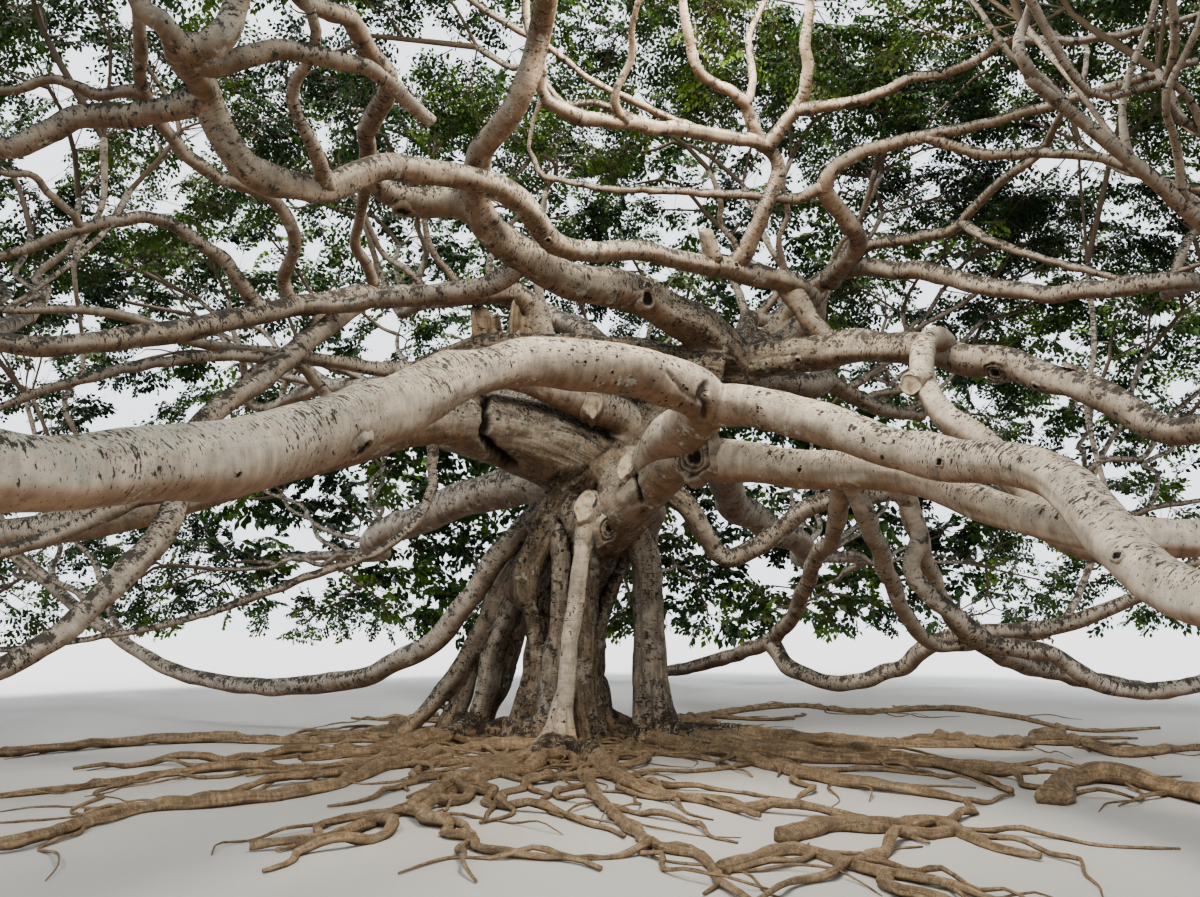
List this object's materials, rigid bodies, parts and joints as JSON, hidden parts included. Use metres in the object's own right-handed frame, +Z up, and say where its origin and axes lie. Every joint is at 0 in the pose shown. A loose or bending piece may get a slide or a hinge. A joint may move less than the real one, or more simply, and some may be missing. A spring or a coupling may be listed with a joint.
{
  "type": "banyan tree",
  "caption": "Old spreading banyan tree: short fluted trunk with pillar roots, long winding boughs and a wide, low crown of small leaves in separate masses.",
  "frame": {"origin": "on the ground, in the flat cut under the trunk", "axes": "+Z up the tree; +Y away from the side that the boughs reach furthest forward on, the side it is seen from; +X to the right as seen from there"},
  "size_m": [39.6002, 38.9142, 13.551],
  "materials": {
    "old_bark": "rough grey-brown bark with pale lichen",
    "bark": "smooth pale bark, warm brown underneath, flecked with dark lichen",
    "root_bark": "worn brown root bark",
    "foliage": "small satin green leaves"
  },
  "bodies": {
    "root": {"bough_back": "bark", "bough_back_left": "bark", "bough_back_right": "bark", "bough_crown_left": "bark", "bough_crown_right": "bark", "bough_dipping": "bark", "bough_far": "bark", "bough_far_left": "bark", "bough_far_right": "bark", "bough_front_high": "bark", "bough_front_stem": "bark", "bough_great_left_inner": "bark", "bough_great_left_outer": "bark", "bough_great_right_inner": "bark", "bough_great_right_outer": "bark", "bough_hanging": "bark", "bough_knotted_inner": "bark", "bough_knotted_outer": "bark", "bough_left_hanging": "bark", "bough_left_low": "bark", "bough_long_left": "bark", "bough_massive_left": "bark", "bough_right_arch": "bark", "bough_right_high": "bark", "bough_right_low": "bark", "bough_right_upper": "bark", "bough_upper_left": "bark", "bough_upright": "bark", "bough_winding_inner": "bark", "bough_winding_outer": "bark", "foliage_inner_1": "foliage", "foliage_inner_2": "foliage", "foliage_inner_3": "foliage", "foliage_middle_1": "foliage", "foliage_middle_2": "foliage", "foliage_middle_3": "foliage", "foliage_middle_4": "foliage", "foliage_middle_5": "foliage", "foliage_middle_6": "foliage", "foliage_middle_7": "foliage", "foliage_outer_1": "foliage", "foliage_outer_10": "foliage", "foliage_outer_2": "foliage", "foliage_outer_3": "foliage", "foliage_outer_4": "foliage", "foliage_outer_5": "foliage", "foliage_outer_6": "foliage", "foliage_outer_7": "foliage", "foliage_outer_8": "foliage", "foliage_outer_9": "foliage", "prop_root_front": "old_bark", "prop_root_left": "old_bark", "prop_root_right": "old_bark", "surface_root_far_right": "root_bark", "surface_root_front": "root_bark", "surface_root_front_left": "root_bark", "surface_root_left": "root_bark", "surface_root_right": "root_bark", "trunk": "old_bark"}
  },
  "joints": []
}
